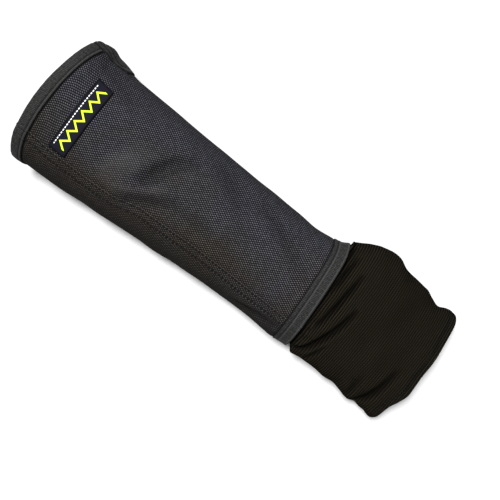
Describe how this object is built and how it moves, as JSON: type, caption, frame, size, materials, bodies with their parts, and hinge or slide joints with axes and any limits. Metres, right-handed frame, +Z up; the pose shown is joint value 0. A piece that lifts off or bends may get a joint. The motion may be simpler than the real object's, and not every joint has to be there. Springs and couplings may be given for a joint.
{
  "type": "cut resistant sleeve",
  "caption": "Tapered woven sleeve with taped ends and a knitted cuff, open right through, worn over the forearm to guard it against cuts.",
  "frame": {"origin": "middle of the footprint, on the surface that the sleeve lies on", "axes": "+X along the sleeve from the elbow end to the cuff's hem, +Z up, +Y across the sleeve, towards the side away from the lap seam"},
  "size_m": [0.485, 0.1576, 0.0722],
  "materials": {
    "woven_cloth": "coarse matt weave, charcoal",
    "binding_tape": "smooth matt woven tape, dark grey",
    "rib_knit": "soft matt knit, black",
    "label_cloth": "smooth woven label, black with a lime and white motif"
  },
  "bodies": {
    "root": {"sleeve_shell": "woven_cloth", "elbow_binding": "binding_tape", "wrist_binding": "binding_tape", "knit_cuff": "rib_knit", "label": "label_cloth"}
  },
  "joints": []
}
